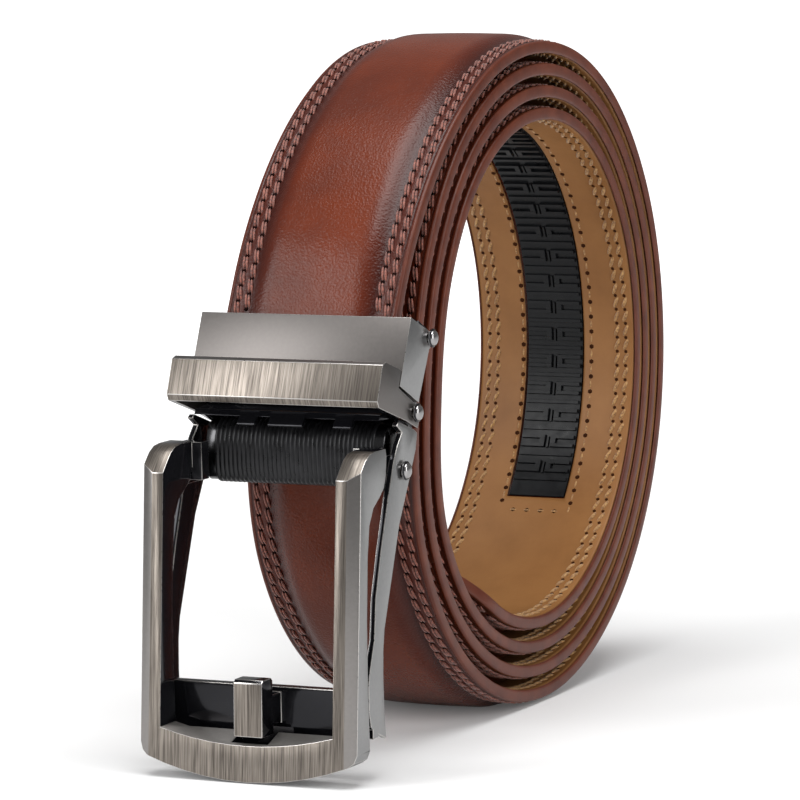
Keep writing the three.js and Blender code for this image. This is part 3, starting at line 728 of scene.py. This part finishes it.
def rounded(node, width, materials, choose, body):
    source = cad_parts[node]
    mesh = source.data.copy()
    mesh.transform(source.matrix_world)
    mesh.materials.clear()
    for material in materials:
        mesh.materials.append(material)
    mesh.polygons.foreach_set("material_index", [0] * len(mesh.polygons))
    piece = bpy.data.objects.new("buckle_" + node, mesh)
    bpy.context.collection.objects.link(piece)
    activate(piece)
    bpy.ops.mesh.customdata_custom_splitnormals_clear()
    bpy.ops.object.mode_set(mode='EDIT')
    bpy.ops.mesh.select_all(action='SELECT')
    bpy.ops.mesh.remove_doubles(threshold=edges["merge"])
    bpy.ops.mesh.dissolve_limited(angle_limit=math.radians(edges["flat"]))
    bpy.ops.mesh.vert_connect_concave()
    bpy.ops.object.mode_set(mode='OBJECT')
    soft = piece.modifiers.new("edges", 'BEVEL')
    soft.width = width * mm
    soft.segments = edges["segments"]
    soft.limit_method = 'ANGLE'
    soft.angle_limit = math.radians(edges["angle"])
    soft.use_clamp_overlap = True
    # the bevel's new faces take the paler edge metal when it is given: a painted highlight along the edges
    paintsHighlight = materials[-1] == edgeHighlight
    soft.material = len(materials) - 1 if paintsHighlight else -1
    bpy.ops.object.modifier_apply(modifier=soft.name)
    for face in piece.data.polygons:
        if not paintsHighlight or face.material_index != len(materials) - 1:
            face.material_index = choose(face.normal, face.center / mm)
    bpy.ops.object.shade_smooth_by_angle(angle=math.radians(edges["smooth"]))
    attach(piece, body)
    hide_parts(node)


# where the front frame's finishes meet, in millimetres
faceSplit = {
    "lugs": -80.2, "postInside": 20.2, "bevelFrom": 19.4, "front": -80, "curl": 53, "curlBack": -83,
    "walls": 18.2, "ledgeTop": 11, "top": 58,
}


def frontFrameFace(normal, place):
    if place.y > faceSplit["lugs"] and abs(place.x) < faceSplit["postInside"]:
        return 3                      # lugs and ears behind the posts
    if abs(normal.x) > 0.25 and normal.y < -0.35 and abs(place.x) > faceSplit["bevelFrom"]:
        return 5                      # bevel along each post
    curled = normal.y < -0.12 and abs(normal.x) < 0.3 and place.z > faceSplit["curl"]
    if place.y < faceSplit["front"] and (normal.y < -0.35 or curled):
        return 0                      # brushed front and its curl over the top
    if normal.x * place.x < -0.5 * abs(place.x) and abs(place.x) < faceSplit["walls"]:
        return 3                      # inner walls
    if place.z < faceSplit["ledgeTop"] and normal.z > 0.7:
        return 4                      # ledge
    if normal.y > 0.3 and place.z < faceSplit["top"]:
        return 3                      # back
    if place.z > faceSplit["top"] and normal.z > 0.8:
        return 0 if place.y < faceSplit["curlBack"] else 3
    return 2


def loopFace(normal, place):
    if normal.y < -0.85:
        return 0                      # brushed front
    return 2 if normal.z < -0.5 or normal.y > 0.3 else 1


def coverFace(normal, place):
    return 1 if abs(normal.x) > 0.8 and abs(place.x) > 21 else 0


def onlyFace(normal, place):
    return 0


def backFrameFace(normal, place):
    if abs(place.x) < 3.2 and normal.y < -0.8 and place.y < -88:
        return 0                      # brushed front of the prong
    if abs(place.x) > 21.0:
        return 1                      # outer sides of the arms
    return 2


rounded("front_frame", width=0.2, choose=frontFrameFace, body="frame",
        materials=[brushedGrey, satinGrey, darkGrey, glossBlack, ledgeGrey, bevelGrey, edgeHighlight])
rounded("keeper_loop", width=0.24, choose=loopFace, body="belt",
        materials=[brushedGrey, satinGrey, glossBlack, edgeHighlight])
rounded("clamp_cover", width=0.14, choose=coverFace, body="belt",
        materials=[satinGrey, darkGrey, edgeHighlight])
rounded("back_frame", width=0.16, choose=backFrameFace, body="belt",
        materials=[brushedGrey, darkGrey, glossBlack, edgeHighlight])
rounded("base_plate", width=0.12, choose=onlyFace, body="belt",
        materials=[glossBlack])
rounded("pawl_plate", width=0.08, choose=onlyFace, body="pawl",
        materials=[glossBlack])
print("plates made")


# the ribbed bar: rounded section with a fine rib in every pitch, and a smooth collar at each end
bar = {
    "half": 16.3, "end": 18.3, "rib": 0.9, "depth": 0.26, "collar": 0.35, "chamfer": (0.25, 0.6), "cut": 0.22,
    "ribShape": ((0.2, 0.04), (0.42, 0.0), (0.64, 0.04), (0.86, 0.26)),
}


def makeRibbedBarPiece():
    low, high = (np.array(corner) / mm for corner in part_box("ribbed_bar"))
    rows = np.array([(-0.5, -0.28), (-0.34, -0.5), (0.5, -0.5), (0.5, 0.3), (0.25, 0.5), (-0.05, 0.5),
                     (-0.36, 0.38), (-0.5, 0.16)])
    for _ in range(2):
        after = np.roll(rows, -1, axis=0)
        keep, cut = 1 - bar["cut"], bar["cut"]
        rows = np.stack([keep * rows + cut * after, cut * rows + keep * after], 1).reshape(-1, 2)
    middle = (low[1:] + high[1:]) / 2
    size = high[1:] - low[1:]
    chamferLength, chamferInset = bar["chamfer"]
    stations = [(-bar["end"], chamferInset), (-bar["end"] + chamferLength, bar["collar"]),
                (-bar["half"] - 0.05, bar["collar"])]
    ribs = int(2 * bar["half"] / bar["rib"])
    for rib in range(ribs):
        x = -bar["half"] + rib * 2 * bar["half"] / ribs
        stations += [(x, bar["depth"])] + [(x + further, inset) for further, inset in bar["ribShape"]]
    stations += [(-x, inset) for x, inset in stations[2::-1]]
    points = []
    for x, inset in stations:
        ring = middle + rows * (size - 2 * inset)
        points += [(x * mm, y * mm, z * mm) for y, z in ring]
    piece = newPiece("buckle_ribbed_bar", points, ringFaces(len(stations), len(rows)), [ribBlack, collarGrey])
    for face in piece.data.polygons:
        face.material_index = 1 if abs(face.center.x) > bar["half"] * mm else 0
    outward(piece)
    bpy.ops.object.shade_smooth_by_angle(angle=math.radians(50))
    return piece


barPiece = makeRibbedBarPiece()
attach(barPiece, "belt")
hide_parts("ribbed_bar")

# pins, each spun from its outline, given here for one half: (distance along the pin, radius)
pinOutline = [
    (0.0, 1.0), (21.9, 1.0), (21.9, 1.62), (22.0, 1.75), (22.25, 1.75), (22.35, 1.62), (22.42, 1.45),
    (22.62, 1.38), (22.8, 1.18), (22.93, 0.8), (22.99, 0.4), (23.0, 0.0),
]
pinLook = {"steps": 32, "merge": 0.000005, "smooth": 40, "grooveFrom": 22.3, "grooveTo": 22.44}


def makePinPiece(node):
    low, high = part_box(node)
    centre = (low + high) / 2
    profile = [(-x, r) for x, r in reversed(pinOutline[1:])] + pinOutline[1:]
    mesh = bpy.data.meshes.new("buckle_" + node)
    mesh.from_pydata([(x * mm, centre.y, centre.z + r * mm) for x, r in profile],
                     [(i, i + 1) for i in range(len(profile) - 1)], [])
    mesh.materials.append(pinSteel)
    mesh.materials.append(glossBlack)
    piece = bpy.data.objects.new("buckle_" + node, mesh)
    bpy.context.collection.objects.link(piece)
    activate(piece)
    bpy.ops.object.mode_set(mode='EDIT')
    bpy.ops.mesh.select_all(action='SELECT')
    bpy.ops.mesh.spin(steps=pinLook["steps"], angle=2 * math.pi, center=(0, centre.y, centre.z),
                      axis=(1, 0, 0))
    bpy.ops.mesh.select_all(action='SELECT')
    bpy.ops.mesh.remove_doubles(threshold=pinLook["merge"])
    bpy.ops.mesh.normals_make_consistent(inside=False)
    bpy.ops.object.mode_set(mode='OBJECT')
    for face in piece.data.polygons:
        inGroove = pinLook["grooveFrom"] < abs(face.center.x) / mm < pinLook["grooveTo"]
        face.material_index = 1 if inGroove else 0
    bpy.ops.object.shade_smooth_by_angle(angle=math.radians(pinLook["smooth"]))
    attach(piece, "belt")
    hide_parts(node)


for node in ("frame_pin", "loop_pin", "clamp_pin"):
    makePinPiece(node)
print("bar and pins made")


# floor and light
studio = {"floor": 0.80, "glowNear": 0.06, "glowFar": 1.0, "glowFrom": 0.12, "glowTo": 0.9, "sky": 0.24}


def addStage():
    bpy.ops.mesh.primitive_plane_add(size=8, location=(0, 0, -0.0002))
    floor = bpy.context.object
    floor.name = "floor"
    material, tree, shader = newMaterial("paleFloor")
    shader.inputs["Base Color"].default_value = (studio["floor"],) * 3 + (1,)
    shader.inputs["Roughness"].default_value = 0.6
    shader.inputs["Specular IOR Level"].default_value = 0.2
    shader.inputs["Emission Color"].default_value = (1, 1, 1, 1)
    seen = tree.nodes.new("ShaderNodeLightPath").outputs["Is Camera Ray"]
    away = tree.nodes.new("ShaderNodeVectorMath")
    away.operation = 'LENGTH'
    tree.links.new(coords(tree), away.inputs[0])
    glow = rangeOf(tree, away.outputs["Value"], studio["glowFrom"], studio["glowTo"], studio["glowNear"],
                   studio["glowFar"])
    tree.links.new(calc(tree, 'MULTIPLY', seen, glow), shader.inputs["Emission Strength"])
    floor.data.materials.append(material)


def addLight(name, place, aim, width, height, power):
    data = bpy.data.lights.new(name, 'AREA')
    data.shape = 'RECTANGLE'
    data.size = width
    data.size_y = height
    data.energy = power
    light = bpy.data.objects.new(name, data)
    bpy.context.collection.objects.link(light)
    light.location = place
    light.rotation_euler = (Vector(aim) - Vector(place)).to_track_quat('-Z', 'Y').to_euler()


addStage()
addLight("leftPanel", (-0.66, -0.82, 0.52), (0, 0, 0.07), 0.42, 0.8, 6.5)
addLight("rightPanel", (1.0, -0.25, 0.40), (0, 0, 0.07), 0.4, 0.9, 5.5)
addLight("topPanel", (0.1, -0.2, 1.2), (0, 0, 0.05), 0.9, 0.9, 15.0)
world = bpy.data.worlds.new("studio")
bpy.context.scene.world = world
world.use_nodes = True
sky = world.node_tree.nodes["Background"]
sky.inputs[0].default_value = (1, 1, 1, 1)
seen = world.node_tree.nodes.new("ShaderNodeLightPath").outputs["Is Camera Ray"]
world.node_tree.links.new(rangeOf(world.node_tree, seen, 0.0, 1.0, studio["sky"], 1.0), sky.inputs[1])
bpy.context.scene.view_settings.view_transform = 'Standard'
print("stage set")
